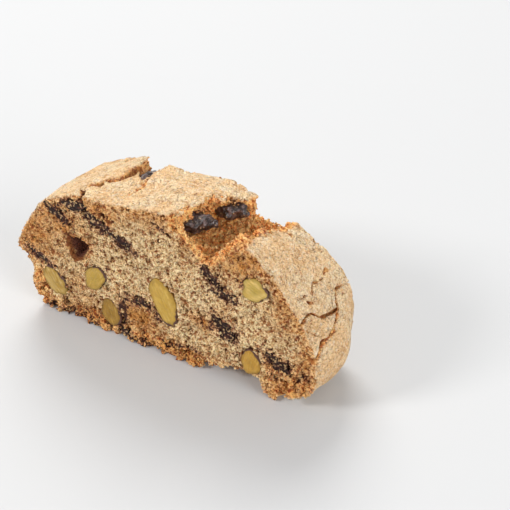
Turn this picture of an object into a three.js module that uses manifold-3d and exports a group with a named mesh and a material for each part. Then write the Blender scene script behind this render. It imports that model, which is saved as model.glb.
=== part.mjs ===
// One slice of pistachio and chocolate biscotti, lying on the flat crust it was baked on.
// Millimetres. X runs along the slice, Y through its thickness, Z up from the baking sheet.
// The front cut face looks towards -Y, the back cut face towards +Y.
import * as THREE from 'three';
import { mergeVertices } from 'three/addons/utils/BufferGeometryUtils.js';
import Module from 'manifold-3d';

// ---- driving sizes -------------------------------------------------------------------------
const THICK = 25.0;          // knife cut to knife cut
const HALF = THICK / 2;
const CELL = 2.2;            // spacing of the grid the dough surface is worked out on
const FIT_GAP = 0.3;         // clearance between a nut or chunk and the crumb around it
const CRUST_RELIEF = 0.75;   // swell and dimple of the baked crust
const CRUMB_RELIEF = 0.55;   // depth of the pores left by the knife
const TORN_RELIEF = 1.1;     // ragged crumb in the torn valley
const OFF_CENTRE = -0.55;    // the outline reaches further left than right by twice this

// Outline of the domed loaf at the front cut, as [x, z] stations joined by a smooth curve.
const DOME = [
  [-40.8, -2.5], [-42.9, 1.5], [-44.8, 8.2], [-44.2, 14.2], [-48.4, 18.8], [-47.6, 22.6], [-45.3, 27.2],
  [-41.8, 32.8], [-37.2, 38.4], [-31.2, 41.4], [-24.4, 43.6], [-12.4, 45.7], [-3, 47.4], [4.4, 48.6],
  [14, 48.2], [21.4, 47.2], [26, 46], [30, 43.4], [33.7, 39.4], [36.8, 34.8], [40, 30.3], [43, 25.6],
  [45.2, 20.4], [45.7, 14.6], [44.9, 9], [41.4, 4.6], [35.8, 2], [31.2, -2.5],
];

// Lumps and hollows that the dough took while it spread: centre, reach, push outwards.
const SWELLS = [
  [[-47, 13, 25], [7, 10, 6], 1.5],
  [[-36, 14, 40], [10, 12, 8], -2.8],
  [[-4, 15, 48], [16, 9, 8], -3.6],
  [[27, 16, 43], [15, 17, 11], -6],
  [[20, 16, 46], [8, 9, 8], -3.6],
  [[46, 15, 14], [8, 9, 14], -3.4],
  [[47, 0, 13], [9, 9, 13], 2.5],
  [[41, 2, 3], [8, 10, 6], 1.3],
  [[-19, -8, 45], [6, 8, 4], -0.5],
];

// The torn valley: the overhanging edge of the top plate and the rim of the right-hand lobe,
// as [y, x] stations along the thickness.
const PLATE_EDGE = [
  [-13, 3.9], [-7, 4.9], [-2, 5.9], [0.6, 6.8], [2.6, 9.2], [6.4, 12.6], [10, 14.9], [13, 13.6],
];
const LOBE_RIM = [
  [-13, 17.8], [-9, 17.8], [-6, 18], [-3.5, 20.3], [-0.4, 21], [1.1, 22.6], [6, 25.2], [9, 25.6], [13, 24.4],
];
const VALLEY_LOW = [[-13, 38], [-6, 37.4], [2, 37.2], [13, 35.4]];
const VALLEY_LEFT = [[-13, 47.5], [-11, 43], [-8, 39], [13, 37.2]];
const PLATE_THICK = 3.0;
const UNDERCUT = 1.6;

// The hollow under the base at the front cut, and how far in it reaches.
const ARCH = { from: 5.5, to: 29.6, height: 5.6, reach: 9.5 };

// Air pockets opened by the knife: centre and half-sizes.
const AIR = [
  [[-27.4, -13, 25.6], [3.2, 4.6, 3.6]],
  [[-25.4, -13, 27.2], [2.2, 2.6, 1.6]],
  [[-18.1, -13, 39.2], [2.9, 2.4, 1.7]],
  [[-48.6, -11.5, 16.2], [3, 4, 1.7]],
  [[-16.9, 14, 44.2], [3.4, 10.8, 7.8]],
  [[29.5, 13, 24], [2.9, 3.4, 2.4]],
  [[-12.5, 13, 36], [2.3, 2.4, 3.2]],
  [[-31, 13, 12.5], [3.4, 2.6, 2]],
];

// Cracks in the crust: [x, y, z] stations, width at the crust and depth.
const CRACKS = [
  [[[-26.2, -12.9, 43.2], [-26.6, -8.6, 43.4], [-27, -6.6, 43.4], [-24.6, -3.6, 43.6], [-22, -0.4, 44],
    [-19.8, 3, 44], [-18.6, 6.5, 43.6]], 1.5, 3.2],
  [[[-14.2, -5.2, 45.2], [-13.6, -2.6, 45.4], [-14.2, 0, 45.2], [-15, 2.6, 44.8]], 1.9, 2.8],
  [[[40.6, -12.9, 29], [40.9, -8.9, 29.5], [42.1, -5.3, 27.8], [43.4, -0.6, 25.6], [43.8, 2.4, 24.9]], 1.1, 2],
  [[[41.2, 12.9, 26.6], [41.1, 9.2, 27.8], [41.2, 6.2, 28.1], [42.4, 3.9, 26.6], [43.8, 2.6, 24.8],
    [44.7, -0.4, 24], [45.4, -3.2, 23], [45.4, -7.2, 22.4], [45.1, -10.8, 20.7], [44.2, -12.9, 18.6]], 1.3, 1.8],
];

// Pistachio kernels met by a knife: side (-1 front, 1 back), centre [x, z], half-sizes along and
// across, turn in degrees, depth behind the cut, and how far from oval the section is.
const KERNELS = {
  pistachio_front_left: [-1, [-36.7, 11.1], 4.6, 3.6, 122, 4.4, 0.05],
  pistachio_front_upper_left: [-1, [-22.5, 17.8], 4.3, 3.1, 62, 3.8, 0.07],
  pistachio_front_largest: [-1, [-0.2, 18.7], 7.4, 3.6, 113, 4.2, 0.05],
  pistachio_front_low_left: [-1, [-17.8, 7.7], 4.5, 3, 104, 3.6, 0.05],
  pistachio_front_upper_right: [-1, [27.3, 34.3], 3.7, 3.3, 160, 3.6, 0.11],
  pistachio_front_low_right: [-1, [26.6, 10.2], 4.1, 2.9, 78, 3.4, 0.06],
  pistachio_back_left: [1, [-33.2, 25.5], 5.6, 3.7, 30, 4, 0.06],
  pistachio_back_middle: [1, [-14.6, 12.4], 4.4, 3.5, 100, 3.8, 0.06],
  pistachio_back_top: [1, [4.6, 30.6], 6.9, 3.8, 20, 4.2, 0.05],
  pistachio_back_low_right: [1, [18.4, 11], 4.5, 3.3, 130, 3.6, 0.08],
  pistachio_back_right: [1, [33.6, 14.2], 4.9, 3.6, 70, 3.8, 0.05],
};

// Chocolate met by a knife, in the same terms; these break up into ragged edges.
const CHOCOLATE_CUTS = {
  chocolate_front_rim: [-1, [-27.6, 39.8], 3.9, 1.5, 4, 3, 0.15],
  chocolate_front_streak: [-1, [-20.7, 36.9], 4.7, 1.5, -28, 3, 0.16],
  chocolate_front_shoulder: [-1, [-33.7, 34.9], 3.1, 1.5, -30, 2.8, 0.2],
  chocolate_front_ledge: [-1, [-41.6, 18.3], 3.6, 1.3, -16, 3, 0.18],
  chocolate_front_smear: [-1, [-12.4, 33.7], 2.4, 1, -12, 2, 0.2],
  chocolate_front_arch: [-1, [-7.9, 15.6], 3.5, 1.2, 3, 2.6, 0.18],
  chocolate_front_foot: [-1, [-13.2, 2.4], 2.2, 1.1, -32, 2.4, 0.2],
  chocolate_front_middle: [-1, [14, 33.4], 2.8, 1.4, -48, 2.8, 0.18],
  chocolate_front_inner: [-1, [18.2, 29], 2.8, 1.4, -10, 2.6, 0.2],
  chocolate_front_low: [-1, [18.2, 18], 3.6, 2.4, -30, 3, 0.24],
  chocolate_front_right: [-1, [34.4, 13.2], 3.6, 1.7, -20, 2.8, 0.22],
  chocolate_back_left: [1, [-25.4, 36.2], 4.2, 2, 28, 3, 0.2],
  chocolate_back_middle: [1, [-4.2, 20.4], 3.6, 2, -32, 3, 0.22],
  chocolate_back_right: [1, [20.6, 27.2], 4.3, 1.8, -52, 3, 0.2],
  chocolate_back_low: [1, [-39.6, 9.4], 3, 1.7, 12, 2.6, 0.2],
};

// Whole chunks of chocolate bared by the tear: centre, half-sizes, turn about Z in degrees.
const CHUNKS = {
  chocolate_valley_front: [[6.8, -6.2, 43.9], [4.4, 2.8, 2.1], 30],
  chocolate_valley_back: [[11.1, 4.4, 42.9], [4, 2.6, 2.1], 46],
  chocolate_crack: [[-15.2, 4.6, 42.9], [2.9, 1.7, 1.8], 100],
};

const COLOURS = {
  biscuit: [0.76, 0.6, 0.38],
  pistachio: [0.66, 0.58, 0.2],
  chocolate: [0.1, 0.065, 0.06],
};
const ROUGHNESS = { biscuit: 0.92, pistachio: 0.55, chocolate: 0.45 };

// ---- small numbers -------------------------------------------------------------------------
const clamp = (v, lo, hi) => Math.min(Math.max(v, lo), hi);
const mix = (a, b, t) => a + (b - a) * t;
const smooth = (a, b, v) => {
  const t = clamp((v - a) / (b - a), 0, 1);
  return t * t * (3 - 2 * t);
};

// Height of a run of [at, value] stations at one place.
function along(stations, at) {
  for (let i = 1; i < stations.length; i += 1) {
    const [a, va] = stations[i - 1];
    const [b, vb] = stations[i];
    if (at <= b) {
      return mix(va, vb, clamp((at - a) / (b - a), 0, 1));
    }
  }
  return stations[stations.length - 1][1];
}

// A fixed random number from -1 to 1 for each corner of a grid.
function cornerValue(i, j, k, seed) {
  let h = Math.imul(i, 374761393) ^ Math.imul(j, 668265263) ^ Math.imul(k, 1442695041);
  h ^= Math.imul(seed, 974634777);
  h = Math.imul(h ^ (h >>> 13), 1274126177);
  h ^= h >>> 16;
  return (h >>> 0) / 2147483647.5 - 1;
}

// Smooth noise from -1 to 1 whose lumps are `size` millimetres apart.
function lumps(x, y, z, size, seed) {
  const [px, py, pz] = [x / size, y / size, z / size];
  const [i, j, k] = [Math.floor(px), Math.floor(py), Math.floor(pz)];
  const [u, v, w] = [px - i, py - j, pz - k].map((t) => t * t * (3 - 2 * t));
  let sum = 0;
  for (let c = 0; c < 8; c += 1) {
    const [a, b, d] = [c & 1, (c >> 1) & 1, c >> 2];
    const weight = (a ? u : 1 - u) * (b ? v : 1 - v) * (d ? w : 1 - w);
    sum += weight * cornerValue(i + a, j + b, k + d, seed);
  }
  return sum;
}

// ---- the dough -----------------------------------------------------------------------------
const domeCurve = new THREE.CatmullRomCurve3(
  DOME.map(([x, z]) => new THREE.Vector3(x, 0, z)), true, 'centripetal',
);
const domePoints = domeCurve.getPoints(140).slice(0, 140);

// Distance from the dome's outline in the plane of a cut, negative inside.
function domeDistance(x, z) {
  let best = Infinity;
  let inside = false;
  for (let i = 0; i < domePoints.length; i += 1) {
    const p = domePoints[i];
    const q = domePoints[(i + 1) % domePoints.length];
    const [dx, dz] = [q.x - p.x, q.z - p.z];
    const t = clamp(((x - p.x) * dx + (z - p.z) * dz) / (dx * dx + dz * dz), 0, 1);
    best = Math.min(best, (x - p.x - t * dx) ** 2 + (z - p.z - t * dz) ** 2);
    if ((p.z > z) !== (q.z > z) && x < p.x + ((z - p.z) / dz) * dx) {
      inside = !inside;
    }
  }
  return inside ? -Math.sqrt(best) : Math.sqrt(best);
}

function swell(x, y, z) {
  let out = 0;
  for (const [[cx, cy, cz], [rx, ry, rz], push] of SWELLS) {
    out += push * Math.exp(-(((x - cx) / rx) ** 2) - ((y - cy) / ry) ** 2 - ((z - cz) / rz) ** 2);
  }
  return out;
}

function crustRelief(x, y, z) {
  return CRUST_RELIEF * (0.62 * lumps(x, y, z, 8.6, 11) + 0.38 * lumps(x, y, z, 4.3, 12));
}

// The left-hand plate of crust stands proud along its crack and dies away to the left.
function platesLift(x, y, z) {
  if (z < 30) {
    return 0;
  }
  const crack = along(CRACKS[0][0].map(([cx, cy]) => [cy, cx]), y);
  const left = crack - x;
  return smooth(-0.9, 0.3, left) * Math.exp(-Math.max(left, 0) / 8) * 0.9;
}

// The torn valley between the top plate and the right-hand lobe, negative in the gap.
function valley(x, y, z) {
  const edge = along(PLATE_EDGE, y);
  const rim = along(LOBE_RIM, y);
  const low = along(VALLEY_LOW, y);
  const t = (x - edge) / (rim - edge);
  const floor = t < 0.74
    ? mix(along(VALLEY_LEFT, y), low, smooth(-0.1, 0.74, t))
    : mix(low, 46, ((t - 0.74) / 0.5) ** 1.2);
  const torn = TORN_RELIEF * (0.6 * lumps(x, y, z, 5.2, 21) + 0.4 * lumps(x, y, z, 2.9, 22));
  const under = UNDERCUT * smooth(floor - 1, floor + 1, z) * smooth(47 - PLATE_THICK, 45.4 - PLATE_THICK, z);
  const wall = edge - under * smooth(-11, -8, y) - x;
  return Math.max(wall + 0.4 * torn, floor + torn - z);
}

function archHeight(x, y) {
  const t = (x - ARCH.from) / (ARCH.to - ARCH.from);
  if (t <= 0 || t >= 1.08) {
    return 0;
  }
  const rise = smooth(0, 0.72, t) * (1 - smooth(0.97, 1.08, t));
  return ARCH.height * rise * (1 - smooth(0, 1, (y + HALF) / ARCH.reach));
}

function airPocket(x, y, z) {
  let nearest = Infinity;
  for (const [[cx, cy, cz], [rx, ry, rz]] of AIR) {
    const k = Math.hypot((x - cx) / rx, (y - cy) / ry, (z - cz) / rz);
    nearest = Math.min(nearest, (k - 1) * Math.min(rx, ry, rz));
  }
  return nearest;
}

// Crumb left by the knife: never proud of the cut, with broader hollows and smaller pores.
function crumb(x, y, z) {
  const broad = lumps(x, y, z, 7.5, 31);
  const pores = lumps(x, y, z, 3.6, 32);
  return CRUMB_RELIEF * clamp(0.45 + 0.5 * broad + 0.75 * pores, 0, 2);
}

function slice(x, y, z) {
  let f = domeDistance(x, z) - swell(x, y, z) - crustRelief(x, y, z) - platesLift(x, y, z);
  f = Math.max(f, -valley(x, y, z));
  f = Math.max(f, Math.abs(y) - HALF + crumb(x, y, z));
  f = Math.max(f, -airPocket(x, y, z));
  return Math.max(f, archHeight(x, y) - z);
}

// ---- from a field to a closed skin ---------------------------------------------------------
const CORNERS = [0, 1, 2, 3, 4, 5, 6, 7].map((c) => [c & 1, (c >> 1) & 1, c >> 2]);
const EDGES = [];
for (let a = 0; a < 8; a += 1) {
  for (const bit of [1, 2, 4]) {
    if (!(a & bit)) {
      EDGES.push([a, a | bit]);
    }
  }
}

// True when the corners picked out by `mask` hang together along the edges of a cell.
function hangsTogether(mask) {
  let seen = mask & -mask;
  for (let pass = 0; pass < 4; pass += 1) {
    for (const [a, b] of EDGES) {
      const both = (1 << a) | (1 << b);
      if ((mask & both) === both && (seen & both)) {
        seen |= both;
      }
    }
  }
  return seen === mask;
}

class Grid {
  constructor(lo, hi, step) {
    this.lo = lo;
    this.step = step;
    this.n = lo.map((v, i) => Math.ceil((hi[i] - v) / step) + 1);
    this.values = new Float64Array(this.n[0] * this.n[1] * this.n[2]);
  }

  at(i, j, k) {
    return i + this.n[0] * (j + this.n[1] * k);
  }

  point(i, j, k) {
    return [this.lo[0] + i * this.step, this.lo[1] + j * this.step, this.lo[2] + k * this.step];
  }

  eachCell(visit) {
    for (let k = 0; k < this.n[2] - 1; k += 1) {
      for (let j = 0; j < this.n[1] - 1; j += 1) {
        for (let i = 0; i < this.n[0] - 1; i += 1) {
          visit(i, j, k);
        }
      }
    }
  }

  cornersOf(i, j, k) {
    return CORNERS.map(([a, b, c]) => this.at(i + a, j + b, k + c));
  }

  fill(field) {
    for (let k = 0; k < this.n[2]; k += 1) {
      for (let j = 0; j < this.n[1]; j += 1) {
        for (let i = 0; i < this.n[0]; i += 1) {
          this.values[this.at(i, j, k)] = field(...this.point(i, j, k));
        }
      }
    }
  }

  // Dough that would only touch itself at a corner or an edge is filled in.
  closePinches() {
    let changed = true;
    while (changed) {
      changed = false;
      this.eachCell((i, j, k) => {
        const ids = this.cornersOf(i, j, k);
        const mask = ids.reduce((m, id, c) => m | (this.values[id] < 0 ? 1 << c : 0), 0);
        if (mask !== 0 && mask !== 255 && !(hangsTogether(mask) && hangsTogether(255 ^ mask))) {
          const open = ids.filter((id) => this.values[id] >= 0);
          open.sort((a, b) => this.values[a] - this.values[b]);
          this.values[open[0]] = -0.12 * this.step;
          changed = true;
        }
      });
    }
  }
}

// One vertex in each cell that the surface crosses, one quad across each crossed edge.
function skinOf(grid) {
  const positions = [];
  const vertexOf = new Map();
  grid.eachCell((i, j, k) => {
    const ids = grid.cornersOf(i, j, k);
    const sum = [0, 0, 0];
    let crossings = 0;
    for (const [a, b] of EDGES) {
      const [va, vb] = [grid.values[ids[a]], grid.values[ids[b]]];
      if ((va < 0) !== (vb < 0)) {
        const t = va / (va - vb);
        for (let d = 0; d < 3; d += 1) {
          sum[d] += mix(CORNERS[a][d], CORNERS[b][d], t);
        }
        crossings += 1;
      }
    }
    if (crossings) {
      vertexOf.set(grid.at(i, j, k), positions.length / 3);
      const base = grid.point(i, j, k);
      positions.push(...base.map((v, d) => v + (sum[d] / crossings) * grid.step));
    }
  });
  const triangles = [];
  grid.eachCell((i, j, k) => {
    for (let d = 0; d < 3; d += 1) {
      const here = grid.values[grid.at(i, j, k)] < 0;
      const next = [i, j, k];
      next[d] += 1;
      if (here !== grid.values[grid.at(...next)] < 0) {
        const [e, f] = [(d + 1) % 3, (d + 2) % 3];
        const ring = [[0, 0], [-1, 0], [-1, -1], [0, -1]].map(([p, q]) => {
          const cell = [i, j, k];
          cell[e] += p;
          cell[f] += q;
          return vertexOf.get(grid.at(...cell));
        });
        if (!here) {
          ring.reverse();
        }
        triangles.push(...splitQuad(positions, ring));
      }
    }
  });
  return { positions, triangles };
}

// A quad becomes two triangles across its shorter diagonal.
function splitQuad(positions, [a, b, c, d]) {
  const span = (p, q) => Math.hypot(...[0, 1, 2].map((i) => positions[3 * p + i] - positions[3 * q + i]));
  return span(a, c) <= span(b, d) ? [a, b, c, a, c, d] : [a, b, d, b, c, d];
}

// ---- solids --------------------------------------------------------------------------------
const wasm = await Module();
wasm.setup();

// Six times the volume inside a skin, below zero when its triangles face inwards.
function enclosed({ positions, triangles }) {
  const at = (v) => new THREE.Vector3().fromArray(positions, 3 * v);
  let sum = 0;
  for (let i = 0; i < triangles.length; i += 3) {
    sum += at(triangles[i]).dot(at(triangles[i + 1]).cross(at(triangles[i + 2])));
  }
  return sum;
}

function solidOf(skin) {
  const faces = enclosed(skin) > 0 ? skin.triangles : [...skin.triangles].reverse();
  return new wasm.Manifold(new wasm.Mesh({
    numProp: 3,
    vertProperties: new Float32Array(skin.positions),
    triVerts: new Uint32Array(faces),
  }));
}

function geometryOf(solid) {
  const mesh = solid.getMesh();
  const geometry = new THREE.BufferGeometry();
  geometry.setAttribute('position', new THREE.BufferAttribute(new Float32Array(mesh.vertProperties), 3));
  geometry.setIndex(new THREE.BufferAttribute(new Uint32Array(mesh.triVerts), 1));
  return mergeVertices(geometry, 1e-4);
}

// A ring-built lump: rings of equal count between two poles.
function lumpOf(rings, first, last) {
  const count = rings[0].length;
  const positions = [...first, ...rings.flat(2), ...last];
  const end = 1 + rings.length * count;
  const triangles = [];
  for (let s = 0; s < count; s += 1) {
    const t = (s + 1) % count;
    triangles.push(0, 1 + t, 1 + s);
    for (let r = 0; r + 1 < rings.length; r += 1) {
      const [a, b] = [1 + r * count + s, 1 + r * count + t];
      triangles.push(a, b, b + count, a, b + count, a + count);
    }
    triangles.push(1 + (rings.length - 1) * count + s, 1 + (rings.length - 1) * count + t, end);
  }
  return { positions, triangles };
}

// A nut or chunk that the knife went through: a flat cut section with a rounded body behind it.
// `grow` widens it evenly for the socket it sits in, and `proud` lifts the section off the cut.
function cutLump([side, [cx, cz], long, wide, turn, deep, ragged], seed, sides, grow, proud) {
  const angle = THREE.MathUtils.degToRad(turn);
  const [ca, sa] = [Math.cos(angle), Math.sin(angle)];
  const ringAt = (scale, depth) => Array.from({ length: sides }, (_, s) => {
    const a = (2 * Math.PI * s) / sides;
    const uneven = 1 + ragged * (Math.sin(2 * a + seed) + 0.8 * Math.sin(3 * a + 2 * seed)
      + 0.7 * Math.sin(5 * a + 3 * seed));
    const u = (long * uneven * scale + grow * Math.sqrt(scale)) * Math.cos(a);
    const v = (wide * uneven * scale + grow * Math.sqrt(scale)) * Math.sin(a);
    return [cx + u * ca - v * sa, side * (HALF - depth), cz + u * sa + v * ca];
  });
  const steps = [0.45, 0.86];
  const rings = [ringAt(1, -proud)];
  for (const step of steps) {
    rings.push(ringAt(Math.sqrt(1 - step * step), step * (deep + grow)));
  }
  const [front, tip] = [-proud, deep + grow].map((depth) => [cx, side * (HALF - depth), cz]);
  return solidOf(lumpOf(rings, front, tip));
}

// A broken block of chocolate: a blunt box-like lump with worn corners.
function chunkOf([[cx, cy, cz], [rx, ry, rz], turn], seed, grow) {
  const angle = THREE.MathUtils.degToRad(turn);
  const [ca, sa] = [Math.cos(angle), Math.sin(angle)];
  const place = (u, v, w) => [cx + u * ca - v * sa, cy + u * sa + v * ca, cz + w];
  const levels = [-0.86, -0.42, 0.1, 0.58, 0.9];
  const rings = levels.map((level) => Array.from({ length: 12 }, (_, s) => {
    const a = (2 * Math.PI * s) / 12;
    const blunt = (Math.abs(Math.cos(a)) ** 3 + Math.abs(Math.sin(a)) ** 3) ** (-1 / 3);
    const uneven = 1 + 0.13 * cornerValue(s, 0, Math.round(level * 10), seed);
    const girth = (1 - Math.abs(level) ** 3) ** (1 / 3) * uneven;
    return place((rx * blunt * girth + grow) * Math.cos(a), (ry * blunt * girth + grow) * Math.sin(a),
      (rz + grow) * level);
  }));
  return solidOf(lumpOf(rings, place(0, 0, -rz - grow), place(0, 0, rz + grow)));
}

// A wedge along the crust: open at the top, closing to a line at its depth.
function crackOf([path, width, depth]) {
  const points = path.map((p) => new THREE.Vector3(...p));
  const profile = points.map((p, i) => {
    const before = points[Math.max(i - 1, 0)];
    const after = points[Math.min(i + 1, points.length - 1)];
    const run = new THREE.Vector3().subVectors(after, before).normalize();
    const out = new THREE.Vector3(
      domeDistance(p.x + 0.5, p.z) - domeDistance(p.x - 0.5, p.z), 0,
      domeDistance(p.x, p.z + 0.5) - domeDistance(p.x, p.z - 0.5),
    ).normalize();
    const across = new THREE.Vector3().crossVectors(run, out).normalize();
    const open = width * (0.75 + 0.35 * Math.sin(2.1 * i + path.length));
    const corner = (s, h) => p.clone().addScaledVector(across, s).addScaledVector(out, h).toArray();
    return [corner(-open * 0.95, 2.2), corner(open * 0.95, 2.2), corner(0, -depth)];
  });
  const positions = profile.flat(2);
  const last = 3 * (profile.length - 1);
  const triangles = [0, 1, 2, last, last + 2, last + 1];
  for (let i = 0; i + 1 < profile.length; i += 1) {
    for (const [a, b] of [[0, 1], [1, 2], [2, 0]]) {
      const [p, q] = [3 * i + a, 3 * i + b];
      triangles.push(p, p + 3, q + 3, p, q + 3, q);
    }
  }
  return solidOf({ positions, triangles });
}

// ---- the slice, put together ---------------------------------------------------------------
const grid = new Grid([-52.3, -HALF - 1.15 * CELL, -1.3 * CELL], [52.5, HALF + 1.2 * CELL, 51], CELL);
grid.fill(slice);
grid.closePinches();
let biscuit = solidOf(skinOf(grid));
for (const crack of CRACKS) {
  biscuit = biscuit.subtract(crackOf(crack));
}

const pieces = new Map();
const embed = (name, solid, socket) => {
  biscuit = biscuit.subtract(socket);
  pieces.set(name, solid);
};
Object.entries(KERNELS).forEach(([name, sizes], i) => {
  embed(name, cutLump(sizes, i + 1, 12, 0, 0.05), cutLump(sizes, i + 1, 12, FIT_GAP, 1.5));
});
Object.entries(CHOCOLATE_CUTS).forEach(([name, sizes], i) => {
  embed(name, cutLump(sizes, i + 31, 10, 0, -0.15), cutLump(sizes, i + 31, 10, FIT_GAP, 1.5));
});
Object.entries(CHUNKS).forEach(([name, sizes], i) => {
  embed(name, chunkOf(sizes, i + 61, 0), chunkOf(sizes, i + 61, FIT_GAP));
});

function meshOf(name, solid) {
  const kind = name.split('_')[0];
  const material = new THREE.MeshStandardMaterial({
    name: kind,
    color: new THREE.Color(...COLOURS[kind]),
    roughness: ROUGHNESS[kind],
    metalness: 0,
  });
  const mesh = new THREE.Mesh(geometryOf(solid).translate(-OFF_CENTRE, 0, 0), material);
  mesh.name = name;
  return mesh;
}

const biscotti = new THREE.Group();
biscotti.name = 'biscotti';
biscotti.add(meshOf('biscuit', biscuit));
for (const [name, solid] of pieces) {
  biscotti.add(meshOf(name, solid));
}
export default biscotti;
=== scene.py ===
import itertools
import math

import bpy
import numpy as np
import openvdb
from mathutils import Matrix, Vector


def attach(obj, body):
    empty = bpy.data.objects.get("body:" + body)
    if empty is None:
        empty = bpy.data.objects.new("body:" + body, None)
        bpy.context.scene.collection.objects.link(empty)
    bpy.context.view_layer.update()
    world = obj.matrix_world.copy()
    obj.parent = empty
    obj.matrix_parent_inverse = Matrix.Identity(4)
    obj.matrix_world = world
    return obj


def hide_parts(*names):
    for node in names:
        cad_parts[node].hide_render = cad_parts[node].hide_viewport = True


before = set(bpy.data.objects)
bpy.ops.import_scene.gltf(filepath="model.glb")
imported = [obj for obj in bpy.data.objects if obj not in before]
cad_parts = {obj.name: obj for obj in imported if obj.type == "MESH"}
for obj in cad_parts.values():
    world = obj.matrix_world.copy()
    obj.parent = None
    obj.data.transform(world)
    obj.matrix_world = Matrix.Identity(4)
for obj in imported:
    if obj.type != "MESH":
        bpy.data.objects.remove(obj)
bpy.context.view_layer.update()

# ---- Studio --------------------------------------------------------------------------------
# A pale seamless table under three soft round lights: the key behind the slice on its left, a
# fill in front on the left and a weaker one on the right. The camera looks down on the front
# cut face from its right.

MM = 0.001
VIEW_AZIMUTH = math.radians(29.93)
VIEW_ELEVATION = math.radians(37.42)
VIEW_ROLL = math.radians(0.9)
EYE = Vector((152.9, -229.4, 237.3)) * MM
LENS = 91.8
AIM = Vector((0, 0, 20)) * MM
# Each light: place in millimetres, width in metres, watts and colour.
LIGHTS = {
    "key": ((-650, 825, 1050), 0.9, 16.9, (1.0, 0.985, 0.96)),
    "fill": ((-840, -960, 840), 0.4, 12.0, (1.0, 0.99, 0.98)),
    "side": ((992, -256, 528), 0.8, 7.6, (1.0, 0.99, 0.98)),
}
TABLE_SIZE = 6.0
TABLE_COLOUR = (0.588, 0.594, 0.60, 1)
TABLE_ROUGHNESS = 0.75
ROOM_COLOUR = (0.97, 0.98, 1.0, 1)
ROOM_STRENGTH = 0.47


def aim_camera():
    data = bpy.data.cameras.new("camera")
    data.lens = LENS
    data.sensor_width = 36.0
    data.clip_start = 0.01
    data.clip_end = 20.0
    across = Vector((math.cos(VIEW_AZIMUTH), math.sin(VIEW_AZIMUTH), 0))
    back = Vector((
        math.sin(VIEW_AZIMUTH) * math.cos(VIEW_ELEVATION),
        -math.cos(VIEW_AZIMUTH) * math.cos(VIEW_ELEVATION),
        math.sin(VIEW_ELEVATION),
    ))
    up = back.cross(across)
    turned = across * math.cos(VIEW_ROLL) + up * math.sin(VIEW_ROLL)
    upright = up * math.cos(VIEW_ROLL) - across * math.sin(VIEW_ROLL)
    camera = bpy.data.objects.new("camera", data)
    camera.matrix_world = Matrix((turned, upright, back)).transposed().to_4x4()
    camera.location = EYE
    bpy.context.collection.objects.link(camera)
    bpy.context.scene.camera = camera


def soft_light(name, place, width, watts, colour):
    data = bpy.data.lights.new(name, "AREA")
    data.shape = "DISK"
    data.size = width
    data.energy = watts
    data.color = colour
    light = bpy.data.objects.new(name, data)
    light.location = Vector(place) * MM
    light.rotation_euler = (AIM - light.location).to_track_quat("-Z", "Y").to_euler()
    bpy.context.collection.objects.link(light)


def lay_table():
    material = bpy.data.materials.new("pale_table")
    material.use_nodes = True
    shader = material.node_tree.nodes["Principled BSDF"]
    shader.inputs["Base Color"].default_value = TABLE_COLOUR
    shader.inputs["Roughness"].default_value = TABLE_ROUGHNESS
    bpy.ops.mesh.primitive_plane_add(size=TABLE_SIZE, location=(0, 0, 0))
    table = bpy.context.object
    table.name = "table"
    table.data.materials.append(material)


aim_camera()
for name, spec in LIGHTS.items():
    soft_light(name, *spec)
lay_table()
world = bpy.data.worlds.new("studio")
bpy.context.scene.world = world
world.use_nodes = True
room = world.node_tree.nodes["Background"].inputs
room["Color"].default_value = ROOM_COLOUR
room["Strength"].default_value = ROOM_STRENGTH
bpy.context.scene.view_settings.view_transform = "Standard"
bpy.context.scene.view_settings.look = "None"

# ---- Dough ---------------------------------------------------------------------------------
# One domed loaf baked on a flat sheet and cut across with a knife: a thin crust that cracked
# and tore while it rose, a flat base and two open crumb faces. It is worked out as one field
# of distances in millimetres, below zero in the dough, and skinned on a fine grid.

HALF = 12.5
CELL = 0.3
CRUST_RELIEF = 0.75
CRUMB_RELIEF = 0.55
TORN_RELIEF = 1.1
SHIFT = 0.55  # The slice is worked out this far left of where it stands.

# The loaf's outline in the plane of the cut: x and z of the stations of a smooth curve.
DOME = [
    (-40.8, -2.5), (-42.9, 1.5), (-44.8, 8.2), (-44.2, 14.2), (-48.4, 18.8), (-47.6, 22.6),
    (-45.3, 27.2), (-41.8, 32.8), (-37.2, 38.4), (-31.2, 41.4), (-24.4, 43.6), (-12.4, 45.7),
    (-3, 47.4), (4.4, 48.6), (14, 48.2), (21.4, 47.2), (26, 46), (30, 43.4), (33.7, 39.4),
    (36.8, 34.8), (40, 30.3), (43, 25.6), (45.2, 20.4), (45.7, 14.6), (44.9, 9), (41.4, 4.6),
    (35.8, 2), (31.2, -2.5),
]
# Places where the loaf swells or sinks behind that outline: centre, reach and push.
SWELLS = [
    ((-47, 13, 25), (7, 10, 6), 1.5),
    ((-36, 14, 40), (10, 12, 8), -2.8),
    ((-4, 15, 48), (16, 9, 8), -3.6),
    ((27, 16, 43), (15, 17, 11), -6),
    ((20, 16, 46), (8, 9, 8), -3.6),
    ((46, 15, 14), (8, 9, 14), -3.4),
    ((47, 0, 13), (9, 9, 13), 2.5),
    ((41, 2, 3), (8, 10, 6), 1.3),
    ((-19, -8, 45), (6, 8, 4), -0.5),
]
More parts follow.
